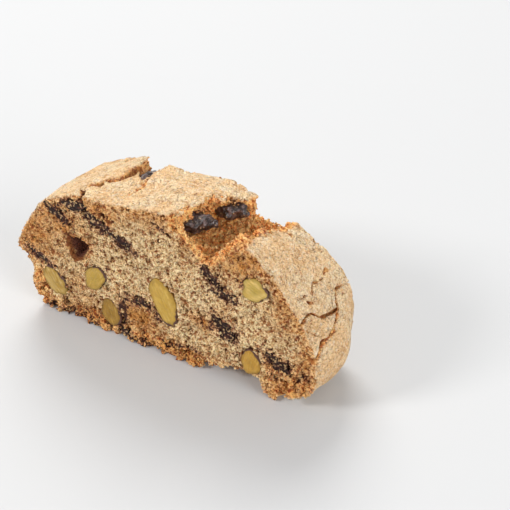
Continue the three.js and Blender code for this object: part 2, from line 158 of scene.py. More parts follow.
# The valley's edges and floor: y through the slice, then x or z.
PLATE_EDGE = [
    (-13, 3.9), (-7, 4.9), (-2, 5.9), (0.6, 6.8), (2.6, 9.2), (6.4, 12.6), (10, 14.9), (13, 13.6),
]
LOBE_RIM = [
    (-13, 17.8), (-9, 17.8), (-6, 18), (-3.5, 20.3), (-0.4, 21), (1.1, 22.6), (6, 25.2),
    (9, 25.6), (13, 24.4),
]
VALLEY_LOW = [(-13, 38), (-6, 37.4), (2, 37.2), (13, 35.4)]
LOBE_CRUST = [(-13, 24.8), (-10, 24.3), (-7, 23.8), (-2, 24.1), (3, 25.4), (8, 26.6), (13, 25.6)]
VALLEY_LEFT = [(-13, 47.5), (-11, 43), (-8, 39), (13, 37.2)]
PLATE_THICK = 3.0
UNDERCUT = 1.6
ARCH_FROM, ARCH_TO, ARCH_HEIGHT, ARCH_REACH = 5.5, 29.6, 5.6, 9.5
# Gas pockets that open in a face: centre and half-sizes.
AIR = [
    ((-27.4, -13, 25.6), (3.2, 4.6, 3.6)),
    ((-25.4, -13, 27.2), (2.2, 2.6, 1.6)),
    ((-18.1, -13, 39.2), (2.9, 2.4, 1.7)),
    ((-48.6, -11.5, 16.2), (3, 4, 1.7)),
    ((-16.9, 14, 44.2), (3.4, 10.8, 7.8)),
    ((29.5, 13, 24), (2.9, 3.4, 2.4)),
    ((-12.5, 13, 36), (2.3, 2.4, 3.2)),
    ((-31, 13, 12.5), (3.4, 2.6, 2)),
]
# Cracks in the crust: stations, width at the crust and depth.
CRACKS = [
    ([(-27, -6.6, 43.4), (-24.6, -3.6, 43.6), (-22, -0.4, 44), (-19.8, 3, 44),
      (-18.6, 6.5, 43.6)], 1.3, 3.2),
    ([(-26.2, -12.9, 43.2), (-26.6, -8.6, 43.4), (-27, -6.6, 43.4)], 0.8, 2.2),
    ([(-14.2, -5.2, 45.2), (-13.6, -2.6, 45.4), (-14.2, 0, 45.2), (-15, 2.6, 44.8)], 2.2, 2.8),
    ([(40.6, -12.9, 29), (40.4, -11, 29.3)], 1.4, 2.2),
    ([(40.4, -11, 29.3), (40.9, -8.9, 29.5), (41, -7.1, 29.3)], 0.9, 1.9),
    ([(41, -7.1, 29.3), (42.1, -5.3, 27.8), (42.9, -3.5, 26.4)], 0.75, 1.7),
    ([(42.6, -4.2, 27), (43.4, -0.6, 25.6), (43.8, 2.4, 24.9)], 1.5, 1.8),
    ([(41.2, 12.9, 26.6), (41.1, 9.2, 27.8), (41.2, 6.2, 28.1)], 1.0, 1.9),
    ([(41.2, 6.2, 28.1), (42.4, 3.9, 26.6), (43.8, 2.6, 24.8)], 0.9, 1.7),
    ([(43.8, 2.6, 24.8), (44.7, -0.4, 24), (45.4, -3.2, 23)], 0.8, 1.5),
    ([(45.4, -3.2, 23), (45.5, -5.4, 22.7), (45.4, -7.2, 22.4)], 1.1, 1.7),
    ([(45.4, -7.2, 22.4), (45.1, -10.8, 20.7), (44.2, -12.9, 18.6)], 1.9, 1.9),
]


def smooth(a, b, value):
    t = np.clip((value - a) / (b - a), 0, 1)
    return t * t * (3 - 2 * t)


def corner_values(i, j, k, seed):
    """A fixed random number from -1 to 1 for each corner of a lattice."""
    mask = np.int64(0xFFFFFFFF)
    h = ((i * 374761393) & mask) ^ ((j * 668265263) & mask) ^ ((k * 1442695041) & mask)
    h = (h ^ ((seed * 974634777) & mask)) & mask
    h = (h ^ (h >> 13)).astype(np.uint64) * np.uint64(1274126177) & np.uint64(0xFFFFFFFF)
    h = h ^ (h >> np.uint64(16))
    return h.astype(float) / 2147483647.5 - 1


def lattice_weights(places, size):
    """Weights of the lattice corners that each place lies between, and the first corner."""
    at = places / size
    first = np.floor(at).astype(int)
    part = at - first
    part = part * part * (3 - 2 * part)
    low = first.min()
    rows = np.zeros((len(places), first.max() - low + 2))
    index = np.arange(len(places))
    rows[index, first - low] = 1 - part
    rows[index, first - low + 1] = part
    return rows, low


class Grid:
    """A box of evenly spaced places, whose x, y and z broadcast against one another."""

    def __init__(self, low, high, cell):
        self.low = np.array(low, float)
        self.cell = cell
        self.axes = [np.arange(a, b + cell, cell) for a, b in zip(low, high)]
        self.x = self.axes[0][:, None, None]
        self.y = self.axes[1][None, :, None]
        self.z = self.axes[2][None, None, :]

    def lumps(self, size, seed):
        """Smooth noise from -1 to 1 whose lumps are `size` millimetres apart."""
        rows, lows = zip(*[lattice_weights(axis, size) for axis in self.axes])
        steps = [np.arange(r.shape[1], dtype=np.int64) + low for r, low in zip(rows, lows)]
        values = corner_values(*np.meshgrid(*steps, indexing="ij"), seed)
        values = np.tensordot(rows[0], values, (1, 0))
        values = np.einsum("jb,ibc->ijc", rows[1], values)
        return np.einsum("kc,ijc->ijk", rows[2], values)

    def sample(self, values, points):
        """Reads a field at loose points by weighing the eight nodes round each."""
        at = (points - self.low) / self.cell
        first = np.clip(np.floor(at).astype(int), 0, np.array(values.shape) - 2)
        part = at - first
        total = np.zeros(len(points))
        for corner in np.ndindex(2, 2, 2):
            near = np.where(corner, part, 1 - part)
            total += near[:, 0] * near[:, 1] * near[:, 2] * values[tuple((first + corner).T)]
        return total


def centripetal_outline(stations, count):
    """A closed smooth curve through the stations, spaced as the loaf's outline is."""
    knots = [np.array(p, float) for p in stations]
    total = len(knots)
    out = []
    for s in range(count):
        at = s * total / count
        i = int(at)
        p = [knots[(i + d) % total] for d in (-1, 0, 1, 2)]
        step = [max(np.linalg.norm(p[d + 1] - p[d]), 1e-4) ** 0.5 for d in range(3)]
        slope = [(p[d + 1] - p[d]) / step[d] for d in range(3)]
        before = slope[0] - (p[2] - p[0]) / (step[0] + step[1]) + slope[1]
        after = slope[1] - (p[3] - p[1]) / (step[1] + step[2]) + slope[2]
        before, after = before * step[1], after * step[1]
        t = at - i
        c2 = -3 * p[1] + 3 * p[2] - 2 * before - after
        c3 = 2 * p[1] - 2 * p[2] + before + after
        out.append(p[1] + before * t + c2 * t ** 2 + c3 * t ** 3)
    return np.array(out)


def outline_distance(points, x, z):
    """Distance from a closed outline in the plane of a cut, negative inside."""
    best = np.full(np.broadcast(x, z).shape, np.inf)
    inside = np.zeros(best.shape, bool)
    for (px, pz), (qx, qz) in zip(points, np.roll(points, -1, axis=0)):
        dx, dz = qx - px, qz - pz
        t = np.clip(((x - px) * dx + (z - pz) * dz) / (dx * dx + dz * dz), 0, 1)
        best = np.minimum(best, (x - px - t * dx) ** 2 + (z - pz - t * dz) ** 2)
        if pz != qz:
            inside ^= ((pz > z) != (qz > z)) & (x < px + ((z - pz) / dz) * dx)
    return np.where(inside, -1, 1) * np.sqrt(best)


def along(stations, at):
    return np.interp(at, [s[0] for s in stations], [s[1] for s in stations])


def swell(g):
    out = 0
    for (cx, cy, cz), (rx, ry, rz), push in SWELLS:
        bump = push * np.exp(-((g.x - cx) / rx) ** 2) * np.exp(-((g.y - cy) / ry) ** 2)
        out = out + bump * np.exp(-((g.z - cz) / rz) ** 2)
    return out


def plates_lift(g):
    """The left-hand plate of crust stands proud of its crack and dies away to the left."""
    crack = along([(-12.9, -26.2)] + [(y, x) for x, y, _ in CRACKS[0][0]], g.y)
    left = crack - g.x
    return smooth(-0.9, 0.3, left) * np.exp(-np.maximum(left, 0) / 8) * 0.9 * (g.z >= 30)


def valley(g):
    """The torn valley between the top plate and the right-hand lobe, negative in the gap."""
    edge = along(PLATE_EDGE, g.y)
    rim = along(LOBE_RIM, g.y)
    low = along(VALLEY_LOW, g.y)
    left = along(VALLEY_LEFT, g.y)
    t = (g.x - edge) / (rim - edge)
    near = left + (low - left) * smooth(-0.1, 0.74, t)
    far = low + (46 - low) * (np.maximum(t - 0.74, 0) / 0.5) ** 1.2
    floor = np.where(t < 0.74, near, far)
    torn = TORN_RELIEF * (0.6 * g.lumps(5.2, 21) + 0.4 * g.lumps(2.9, 22))
    under = UNDERCUT * smooth(floor - 1, floor + 1, g.z)
    under = under * smooth(47 - PLATE_THICK, 45.4 - PLATE_THICK, g.z)
    wall = edge - under * smooth(-11, -8, g.y) - g.x
    return np.maximum(wall + 0.4 * torn, floor + torn - g.z)


def arch_height(g):
    t = (g.x - ARCH_FROM) / (ARCH_TO - ARCH_FROM)
    rise = smooth(0, 0.72, t) * (1 - smooth(0.97, 1.08, t))
    return ARCH_HEIGHT * rise * (1 - smooth(0, 1, (g.y + HALF) / ARCH_REACH))


def depth_in(x, y, z, centre, half):
    """Where a place lies in an egg shape: 0 in its middle and 1 on its skin."""
    return np.sqrt(sum(((v - c) / h) ** 2 for v, c, h in zip((x, y, z), centre, half)))


def air_pockets(g):
    nearest = np.full(np.broadcast(g.x, g.y, g.z).shape, np.inf)
    for centre, half in AIR:
        k = depth_in(g.x, g.y, g.z, centre, half)
        nearest = np.minimum(nearest, (k - 1) * min(half))
    return nearest


# Kernels and chocolate in the cut faces: side, centre x and z, half-length, half-width, turn in
# degrees, depth and raggedness.
KERNELS = {
    "pistachio_front_left": (-1, (-36.7, 11.1), 4.6, 3.6, 122, 4.4, 0.05),
    "pistachio_front_upper_left": (-1, (-22.5, 17.8), 4.3, 3.1, 62, 3.8, 0.07),
    "pistachio_front_largest": (-1, (-0.2, 18.7), 7.4, 3.6, 113, 4.2, 0.05),
    "pistachio_front_low_left": (-1, (-17.8, 7.7), 4.5, 3, 104, 3.6, 0.05),
    "pistachio_front_upper_right": (-1, (27.3, 34.3), 3.7, 3.3, 160, 3.6, 0.11),
    "pistachio_front_low_right": (-1, (26.6, 10.2), 4.1, 2.9, 78, 3.4, 0.06),
    "pistachio_back_left": (1, (-33.2, 25.5), 5.6, 3.7, 30, 4, 0.06),
    "pistachio_back_middle": (1, (-14.6, 12.4), 4.4, 3.5, 100, 3.8, 0.06),
    "pistachio_back_top": (1, (4.6, 30.6), 6.9, 3.8, 20, 4.2, 0.05),
    "pistachio_back_low_right": (1, (18.4, 11), 4.5, 3.3, 130, 3.6, 0.08),
    "pistachio_back_right": (1, (33.6, 14.2), 4.9, 3.6, 70, 3.8, 0.05),
}
CHOCOLATE_CUTS = {
    "chocolate_front_rim": (-1, (-27.6, 39.8), 3.9, 1.5, 4, 3, 0.15),
    "chocolate_front_streak": (-1, (-20.7, 36.9), 4.7, 1.5, -28, 3, 0.16),
    "chocolate_front_shoulder": (-1, (-33.7, 34.9), 3.1, 1.5, -30, 2.8, 0.2),
    "chocolate_front_ledge": (-1, (-41.6, 18.3), 3.6, 1.3, -16, 3, 0.18),
    "chocolate_front_smear": (-1, (-12.4, 33.7), 2.4, 1, -12, 2, 0.2),
    "chocolate_front_arch": (-1, (-7.9, 15.6), 3.5, 1.2, 3, 2.6, 0.18),
    "chocolate_front_foot": (-1, (-13.2, 2.4), 2.2, 1.1, -32, 2.4, 0.2),
    "chocolate_front_middle": (-1, (14, 33.4), 2.8, 1.4, -48, 2.8, 0.18),
    "chocolate_front_inner": (-1, (18.2, 29), 2.8, 1.4, -10, 2.6, 0.2),
    "chocolate_front_low": (-1, (18.2, 18), 3.6, 2.4, -30, 3, 0.24),
    "chocolate_front_right": (-1, (34.4, 13.2), 3.6, 1.7, -20, 2.8, 0.22),
    "chocolate_back_left": (1, (-25.4, 36.2), 4.2, 2, 28, 3, 0.2),
    "chocolate_back_middle": (1, (-4.2, 20.4), 3.6, 2, -32, 3, 0.22),
    "chocolate_back_right": (1, (20.6, 27.2), 4.3, 1.8, -52, 3, 0.2),
    "chocolate_back_low": (1, (-39.6, 9.4), 3, 1.7, 12, 2.6, 0.2),
}
# Whole chunks in the tears: centre, half-sizes and turn in degrees.
CHUNKS = {
    "chocolate_valley_front": ((6.8, -6.2, 43.9), (4.4, 2.8, 2.1), 30),
    "chocolate_valley_back": ((11.1, 4.4, 42.9), (4, 2.6, 2.1), 46),
    "chocolate_crack": ((-15.2, 4.6, 42.9), (2.9, 1.7, 1.8), 100),
}
BED_GAP = 0.09
CHOCOLATE_SEED = 31
# Patches of the front cut face that baked browner, the one along the bottom edge also painted
# shade where the slice meets the table: centre x and z, half-sizes, strength.
BROWNED_AND_BASE_SHADE = [
    (38.5, 6, 7.5, 6.5, 0.95),
    (33.5, 12, 4.5, 3.5, 0.7),
    (-8, 9.6, 6.5, 6, 1.1),
    # Along the bottom edge: browner crumb and painted contact shade.
    (2, 3, 18, 4.2, 1.0),
    (-24, 3.4, 10, 5.4, 0.9),
    (-41.7, 26, 8, 10, 0.9),
    (-42.5, 6, 4, 6, 0.5),
    (-33, 32, 10, 8, 0.75),
    (-29, 13.5, 5, 4, 0.5),
    (23, 41, 7.5, 7, 0.95),
    (36.5, 31, 4.5, 8, 0.75),
    (42, 15, 3, 9, 0.7),
    (18, 21, 5, 4, 0.4),
    (12, 17, 3.5, 3, 0.9),
    (-20, 41, 9, 3.5, 0.75),
    (-4, 44, 9, 3, 0.6),
    (-32.6, 31, 1.8, 1.6, 1.2),
    (8, 42, 4, 5, 0.6),
]
# Chocolate melted thin into the crumb, the two along the bottom edge also painted shade where the
# slice meets the table: points x and z on the cut face and half-width.
SMEARS_AND_BASE_SHADE = [
    ([(-29, 40), (-26, 39.4), (-20, 36.6), (-14, 32.8), (-9, 31.6)], 0.8),
    ([(-37, 37), (-33.5, 34.5), (-31, 32.5)], 1.1),
    ([(-44.5, 19.6), (-41, 18), (-37.4, 16.6)], 1.0),
    ([(-14.6, 6.4), (-14.2, 9), (-13.3, 11.6), (-11.5, 14.3), (-8.8, 15.7), (-6, 16),
      (-3.9, 15.5), (-2, 13.6)], 1.5),
    # These two along the bottom edge: chocolate and painted contact shade.
    ([(-38, 0.8), (-30, 0.7), (-24, 1.0)], 1.3),
    ([(-17, 2.6), (-14.6, 2), (-12, 1.2), (-7, 0.8), (-3, 1.2)], 1.2),
    ([(-0.4, 4.4), (3.4, 4.8), (6.9, 5.6), (9.7, 5.8)], 0.8),
    ([(12.6, 36), (14.2, 33), (15.6, 30.6), (18.4, 29), (21.4, 28.8)], 0.9),
    ([(14.6, 17), (17.9, 16.7), (20.6, 19)], 1.1),
    ([(16.5, 14.2), (18, 15.2)], 0.8),
    ([(31.7, 14.3), (33.8, 13.2), (36.8, 13.2)], 1.0),
    ([(33, 9.6), (34, 7.6)], 0.6),
    ([(-2, 43.3), (-1.1, 42.5), (0.5, 42.3)], 0.6),
    ([(-18.6, 22.6), (-18.1, 22)], 0.4),
    ([(1, 26.6), (1.6, 26.3)], 0.3),
    ([(11.6, 17.2), (12.4, 16.4)], 0.6),
    ([(25.5, 37.6), (23.8, 35)], 0.4),
]
# The three-cornered hole that gas left beside the upper left kernel.
HOLE = [
    (-31.8, 29.8), (-28.4, 29.0), (-25.2, 27.7), (-22.4, 26.4), (-24.9, 24.8), (-26.6, 22.2),
    (-29.2, 20.6), (-30.6, 23),
]
HOLE_DEPTH = 5
# Fine cracks: stations, width and depth.
HAIR_CRACKS = [
    ([(39.1, -4.2, 31.5), (38, -1.9, 32.5), (37.6, 2.7, 32.3), (37.4, 6.9, 32.3)], 0.7, 1.6),
    ([(37.9, -11.1, 32.5), (38.2, -7.4, 32.7), (38.2, -5.3, 32.6)], 0.5, 1.3),
    ([(40.6, -11.4, 28.2), (41.7, -11.3, 26.8), (42.8, -10.2, 26.4),
      (43.8, -8.7, 25.4)], 0.65, 1.5),
    ([(39.4, -6, 31.3), (39.9, -4.9, 30.7)], 1.4, 1.6),
    ([(26.7, 6, 40.6), (27.1, 6.6, 40.3)], 1.0, 0.9),
    ([(-16.2, -12.7, 30.9), (-13.3, -12.7, 30.4), (-10.1, -12.7, 30.6)], 0.7, 1.6),
    ([(-10.5, -9, 46.3), (-8.5, -4, 46.6), (-9.5, 1, 46.6)], 0.45, 0.7),
    ([(-1.5, -3, 47.8), (0.5, 2, 47.6), (-1, 6.5, 46.6)], 0.4, 0.6),
    ([(33, 4, 40), (35, 6, 37.6), (36, 8.6, 35.6)], 0.5, 0.7),
    ([(30.5, -8, 42.4), (31.5, -4.5, 42), (31, -2, 42.2)], 0.4, 0.5),
]
RIGHT_FOOT = (38, 7)
CRACK_BED_GRAINS = 80
SKIN_TRIANGLES = 192000
FAR = 9.0


def outline_radius(angle, ragged, seed):
    wave = np.sin(2 * angle + seed) + 0.8 * np.sin(3 * angle + 2 * seed)
    return 1 + ragged * (wave + 0.7 * np.sin(5 * angle + 3 * seed))


def ragged_radius(u, v, ragged, seed):
    """Where a place lies in a ragged round: 0 in its middle and 1 on its outline."""
    return np.hypot(u, v) / outline_radius(np.arctan2(v, u), ragged, seed)


def turned(a, b, centre, degrees):
    """Places in a plane, measured along and across a piece that lies turned in it."""
    c, s = math.cos(math.radians(degrees)), math.sin(math.radians(degrees))
    a, b = a - centre[0], b - centre[1]
    return a * c + b * s, b * c - a * s


def window(g, low, high):
    """The part of a grid inside a box, as slices and its three axes."""
    cuts = []
    for axis, a, b in zip(g.axes, low, high):
        first = max(int(np.searchsorted(axis, a)) - 1, 0)
        cuts.append(slice(first, min(int(np.searchsorted(axis, b)) + 1, len(axis))))
    x, y, z = [axis[cut] for axis, cut in zip(g.axes, cuts)]
    return tuple(cuts), x[:, None, None], y[None, :, None], z[None, None, :]


def carve(field, cuts, gap):
    """Takes away wherever gap is below zero."""
    field[cuts] = np.maximum(field[cuts], -gap)


def nearest_on_path(a, b, path):
    """Distance in a plane from a path of (a, b, depth) stations, and its depth there."""
    best = np.full(a.shape, np.inf)
    level = np.zeros(a.shape)
    for (pa, pb, pd), (qa, qb, qd) in zip(path, path[1:]):
        da, db = qa - pa, qb - pb
        t = np.clip(((a - pa) * da + (b - pb) * db) / (da * da + db * db), 0, 1)
        distance = np.hypot(a - pa - t * da, b - pb - t * db)
        closer = distance < best
        best = np.where(closer, distance, best)
        level = np.where(closer, pd + t * (qd - pd), level)
    return best, level


def carve_crack(field, g, bends, path, width, depth):
    """Cuts a crack of uneven width that narrows with depth and wanders off its path."""
    stations = [Vector(p) for p in path]
    middle = sum(stations, Vector()) / len(stations)
    if abs(middle.y) > HALF - 0.5:
        inward = Vector((0, -math.copysign(1, middle.y), 0))
    else:
        inward = (Vector((0, middle.y, 12)) - middle).normalized()
    side = inward.orthogonal().normalized()
    other = inward.cross(side)
    low = [min(p[i] for p in path) - depth - 1.5 for i in range(3)]
    high = [max(p[i] for p in path) + depth + 1.5 for i in range(3)]
    cuts, x, y, z = window(g, low, high)
    wander, sway, ragged = [bend[cuts] for bend in bends]
    a = x * side.x + y * side.y + z * side.z + 0.8 * wander + 0.25 * ragged
    b = x * other.x + y * other.y + z * other.z + 0.8 * sway - 0.25 * ragged
    d = x * inward.x + y * inward.y + z * inward.z
    route = [(p.dot(side), p.dot(other), p.dot(inward)) for p in stations]
    near, level = nearest_on_path(a, b, route)
    sunk = np.clip((d - level) / depth, 0, 1.4)
    half = width / 2 * (1 - sunk * 0.8) * (0.9 + 0.8 * wander)
    gap = np.maximum(near + 0.25 * ragged - half, d - level - depth)
    carve(field, cuts, gap)
    return cuts, gap


def carve_socket(field, g, ruin, side, centre, long, wide, turn, deep, ragged, seed):
    """The bed of a piece that was cut through with the slice."""
    reach = max(long, wide) * 1.6 + 1
    near, far = sorted((side * (HALF + 1), side * (HALF - deep - 1)))
    low = (centre[0] - reach, near, centre[1] - reach)
    cuts, x, y, z = window(g, low, (centre[0] + reach, far, centre[1] + reach))
    u, v = turned(x, z, centre, turn)
    radius = ragged_radius(u / long, v / wide, ragged, seed)
    down = np.maximum(HALF - side * y, 0) / deep
    k = np.sqrt(radius ** 2 + down ** 2)
    carve(field, cuts, (k - 1) * wide - BED_GAP + ruin[cuts])


def carve_hole(field, g, rough):
    """Gas hole with corners: a prism that tapers as it goes in."""
    xs, zs = zip(*HOLE)
    low = (min(xs) - 1, -HALF - 1, min(zs) - 1)
    cuts, x, y, z = window(g, low, (max(xs) + 1, -HALF + HOLE_DEPTH + 1, max(zs) + 1))
    gap = outline_distance(HOLE, x, z) + 0.3 * np.maximum(y + HALF, 0) + 0.1 * rough[cuts]
    carve(field, cuts, np.maximum(gap, y + HALF - HOLE_DEPTH))
    return cuts, gap


def add_grains(field, g, rough, places, sizes, sign):
    """Welds small ragged grains on (sign 1) or bites small pores out (sign -1)."""
    for place, size in zip(places, sizes):
        cuts, x, y, z = window(g, place - size.max() - 0.4, place + size.max() + 0.4)
        ball = (depth_in(x, y, z, place, size) - 1) * size.min()
        ball = ball + 0.3 * size.min() * rough[cuts]
        if sign > 0:
            field[cuts] = np.minimum(field[cuts], ball)
        else:
            carve(field, cuts, ball)


rng = np.random.default_rng(20)
grid = Grid((-51.5, -HALF - 2.2 * CELL, -2.2 * CELL), (50.5, HALF + 2 * CELL, 50.5), CELL)
gx, gy, gz = grid.x, grid.y, grid.z
grit = 0.6 * grid.lumps(1.5, 51) + 0.4 * grid.lumps(0.8, 52)
coarse = grid.lumps(2.6, 53)
crust_face = outline_distance(centripetal_outline(DOME, 140), gx, gz) - swell(grid)
crust_face -= CRUST_RELIEF * (0.62 * grid.lumps(8.6, 11) + 0.38 * grid.lumps(4.3, 12))
crust_face -= plates_lift(grid)
tear = valley(grid)
pockets = air_pockets(grid)
uneven = 0.45 + 0.5 * grid.lumps(7.5, 31) + 0.75 * grid.lumps(3.6, 32)
cut_face = np.abs(gy) - HALF + CRUMB_RELIEF * np.clip(uneven, 0, 2)
base_gap = arch_height(grid) - gz
solid = np.maximum(np.maximum(crust_face, np.abs(gy) - HALF), base_gap)
bare = smooth(0.8, -0.8, gx - along(LOBE_CRUST, gy) + 1.3 * coarse) * (gx > 14) * (gz > 34)
field = crust_face - (0.14 + 0.12 * (gx > 24)) * grit * smooth(-0.9, 0.6, coarse) - 0.15 * coarse
for surface in (
    -tear - 0.8 * grit - 0.6 * coarse,
    crust_face + bare * (0.6 + 0.9 * grit + 0.7 * coarse),
    cut_face + (0.4 * grit + 0.3 * coarse) * smooth(0, 1.5, -crust_face),
    -pockets - 0.5 * grit,
    base_gap + 0.2 * grit,
):
    field = np.maximum(field, surface)


def loose_points(count, wanted):
    """Seeded random places near the skin of the dough where `wanted` holds."""
    out = []
    while sum(len(o) for o in out) < count:
        pick = rng.random((80000, 3)) * [len(a) - 2 for a in grid.axes] * CELL + grid.low
        pick = pick[np.abs(grid.sample(field, pick)) < 0.3]
        out.append(pick[wanted(pick)])
    return np.concatenate(out)[:count]


def on_cut(points):
    return (np.abs(points[:, 1]) > HALF - 1.8) & (grid.sample(crust_face, points) < -0.6)


def at_rim(points):
    depth = grid.sample(crust_face, points)
    return (np.abs(points[:, 1]) > HALF - 1.3) & (depth > -1.2) & (points[:, 2] > 3)


def from_foot(x, z):
    return np.hypot(x - RIGHT_FOOT[0], z - RIGHT_FOOT[1])


def in_crags(points):
    """The broken bottom edge, the right foot and the crag at the lower left."""
    x, y, z = points.T
    low = (z < 5.5) | (from_foot(x, z) < 7.5) | ((x < -38.5) & (x > -41.8) & (z < 15))
    return low & (y < -HALF + 2.2) & (z > 0.5)


def in_tear(points):
    peeled = (grid.sample(bare, points) > 0.5) & (grid.sample(crust_face, points) > -1.8)
    return (np.abs(grid.sample(tear, points)) < 1.2) | peeled


def grain_sizes(count, low, high):
    """Most grains are small and a few are large."""
    size = low + (high - low) * rng.random((count, 1)) ** 2.2
    return size * rng.uniform(0.75, 1.35, (count, 3))


plain = field.copy()
for count, wanted, low, high, sign in (
    (5600, on_cut, 0.26, 0.85, -1),
    (3200, on_cut, 0.26, 0.55, 1),
    (110, at_rim, 0.3, 0.6, -1),
    (330, in_crags, 0.7, 1.7, -1),
    (260, in_crags, 0.4, 1.1, 1),
    (160, at_rim, 0.22, 0.4, 1),
    (1100, in_tear, 0.35, 1.1, 1),
    (800, in_tear, 0.3, 0.8, -1),
):
    places = loose_points(count, wanted)
    add_grains(field, grid, grit, places, grain_sizes(count, low, high), sign)
for surface in (solid - 0.3, np.abs(gy) - HALF, 0.02 - gz):
    field = np.maximum(field, surface)

bends = (grid.lumps(2.3, 61), grid.lumps(2.9, 62), grit)
cracked = np.full(field.shape, FAR, np.float32)
for path, width, depth in CRACKS + HAIR_CRACKS:
    cuts, gap = carve_crack(field, grid, bends, path, width, depth)
    in_cut_face = all(abs(station[1]) > HALF for station in path)
    if not in_cut_face:
        cracked[cuts] = np.minimum(cracked[cuts], gap)
bed = rng.uniform((-17, -6, 42), (-12.4, 5.5, 45.6), (4000, 3))
in_bed = (grid.sample(cracked, bed) < 0.3) & (grid.sample(crust_face, bed) < -0.7)
bed = bed[in_bed][:CRACK_BED_GRAINS]
add_grains(field, grid, grit, bed, grain_sizes(len(bed), 0.4, 0.9), 1)
for index, spec in enumerate(KERNELS.values()):
    carve_socket(field, grid, 0.12 * grit, *spec, index + 1)
for index, spec in enumerate(CHOCOLATE_CUTS.values()):
    carve_socket(field, grid, 0.05 + 0.6 * coarse + 0.5 * grit, *spec, index + CHOCOLATE_SEED)
cuts, gap = carve_hole(field, grid, grit)
gas_hole = np.full(field.shape, FAR, np.float32)
gas_hole[cuts] = gap


def mesh_from(name, points, faces):
    """A mesh from points in millimetres and an array of triangles or four-sided faces."""
    mesh = bpy.data.meshes.new(name)
    sides = faces.shape[1]
    mesh.vertices.add(len(points))
    places = (points + [SHIFT, 0, 0]) * MM
    mesh.vertices.foreach_set("co", np.ascontiguousarray(places, np.float32).ravel())
    mesh.loops.add(faces.size)
    mesh.loops.foreach_set("vertex_index", np.ascontiguousarray(faces, np.int32).ravel())
    mesh.polygons.add(len(faces))
    mesh.polygons.foreach_set("loop_start", np.arange(len(faces), dtype=np.int32) * sides)
    mesh.update(calc_edges=True)
    mesh.validate()
    mesh.shade_smooth()
    made = bpy.data.objects.new(name, mesh)
    bpy.context.collection.objects.link(made)
    return made


def note(piece, name, values):
    """Keeps one number per point of the mesh for the material to read."""
    layer = piece.data.attributes.new(name, "FLOAT", "POINT")
    layer.data.foreach_set("value", np.ascontiguousarray(values, np.float32))


def biggest_body(points, faces):
    """Drops the loose scraps that noise left."""
    label = np.arange(len(points))
    while True:
        lowest = label[faces].min(axis=1)
        fresh = label.copy()
        for corner in range(faces.shape[1]):
            np.minimum.at(fresh, faces[:, corner], lowest)
        fresh = fresh[fresh]
        if np.array_equal(fresh, label):
            break
        label = fresh
    kept = np.bincount(label).argmax()
    keep = label == kept
    renumber = np.cumsum(keep) - 1
    return points[keep], renumber[faces[keep[faces].all(axis=1)]]


def skin_of(field, g, within):
    """Points in millimetres and outward four-sided faces where a field passes zero."""
    volume = openvdb.FloatGrid()
    volume.copyFromArray(np.clip(field, -within, within).astype(np.float32))
    points, faces = volume.convertToQuads(isovalue=0.0)
    points = np.asarray(points, float) * g.cell + g.low
    return biggest_body(points, np.asarray(faces, np.int64))


skin, quads = skin_of(field, grid, 2)
dough = mesh_from("dough", skin, quads)
thin = dough.modifiers.new("thin", "DECIMATE")
thin.ratio = min(1.0, SKIN_TRIANGLES / (2 * len(quads)))
thin.use_collapse_triangulate = True
bpy.context.view_layer.objects.active = dough
dough.select_set(True)
bpy.ops.object.modifier_apply(modifier="thin")
skin = np.empty(len(dough.data.vertices) * 3, np.float32)
dough.data.vertices.foreach_get("co", skin)
skin = skin.reshape(-1, 3) / MM - [SHIFT, 0, 0]

# What the material has to know at each point of the skin, mostly from 0 to 1.
x, y, z = skin.T
crust_depth = -grid.sample(crust_face, skin)
crack_near = grid.sample(cracked, skin)
hole_near = grid.sample(gas_hole, skin)
front_edge = y < -HALF + 3
peeled = grid.sample(bare, skin) * smooth(2.4, 0.8, crust_depth)
raw = np.exp(-np.maximum(np.abs(grid.sample(tear, skin)) - 1.1, 0) / 1.2)
in_crack = np.exp(-np.maximum(crack_near, 0) / 0.35) * smooth(0.15, 0.6, crust_depth)
in_pocket = 0.6 * np.exp(-np.maximum(grid.sample(pockets, skin) - 0.2, 0) / 0.5)
foot = np.clip(smooth(7, 4.5, z) + smooth(9.5, 6.5, from_foot(x, z)), 0, 1)
left_crag = 1.7 * smooth(-38, -40.5, x) * smooth(16, 12, z)
crag = front_edge * np.maximum(foot, left_crag)
for torn_part in (in_crack, in_pocket, 0.5 * crag, 0.55 * peeled):
    raw = np.maximum(raw, torn_part)
# sunk is painted shade: the dough is darkened where it lies below the smooth loaf and deep in the
# cracks, less on torn crumb.
sunk = np.clip(-grid.sample(solid, skin) / 3.0, 0, 1) * (1 - 0.75 * np.clip(raw, 0, 1))
sunk = np.maximum(sunk, smooth(0.35, 0.05, crack_near) * smooth(0.4, 1.3, crust_depth))
upper_pocket = np.hypot((x + 18.1) / 2.9, (z - 39.2) / 1.9) + 5 * (y > -10)
smooth_wall = 1 - np.minimum(smooth(0.05, 0.35, hole_near), smooth(0.75, 1.1, upper_pocket))
# Browner baked patches, and painted shade along the bottom edge.
browning_and_base_shade = np.zeros(len(skin))
for cx, cz, rx, rz, strength in BROWNED_AND_BASE_SHADE:
    spot = strength * np.exp(-((x - cx) / rx) ** 2 - ((z - cz) / rz) ** 2)
    browning_and_base_shade = np.maximum(browning_and_base_shade, spot * (y < 0))
# Chocolate stains, and painted shade along the bottom edge.
smear = np.zeros(len(skin))
for stations, wide in SMEARS_AND_BASE_SHADE:
    near, _ = nearest_on_path(x, z, [(*station, 0) for station in stations])
    smear = np.maximum(smear, np.exp(-np.maximum(near - wide, 0) / 0.8) * front_edge * 0.95)
for side, centre, long, wide, turn, *_ in CHOCOLATE_CUTS.values():
    u, v = turned(x, z, centre, turn)
    near = np.exp(-np.maximum(np.hypot(u / long, v / wide) - 1.0, 0) * 1.1)
    smear = np.maximum(smear, near * (side * y > HALF - 3.5))
for centre, half, _ in CHUNKS.values():
    near = depth_in(x, y, z, centre, np.add(half, (0.6, 0.9, 0.6)))
    smear = np.maximum(smear, np.exp(-np.maximum(near - 0.9, 0) * 4))
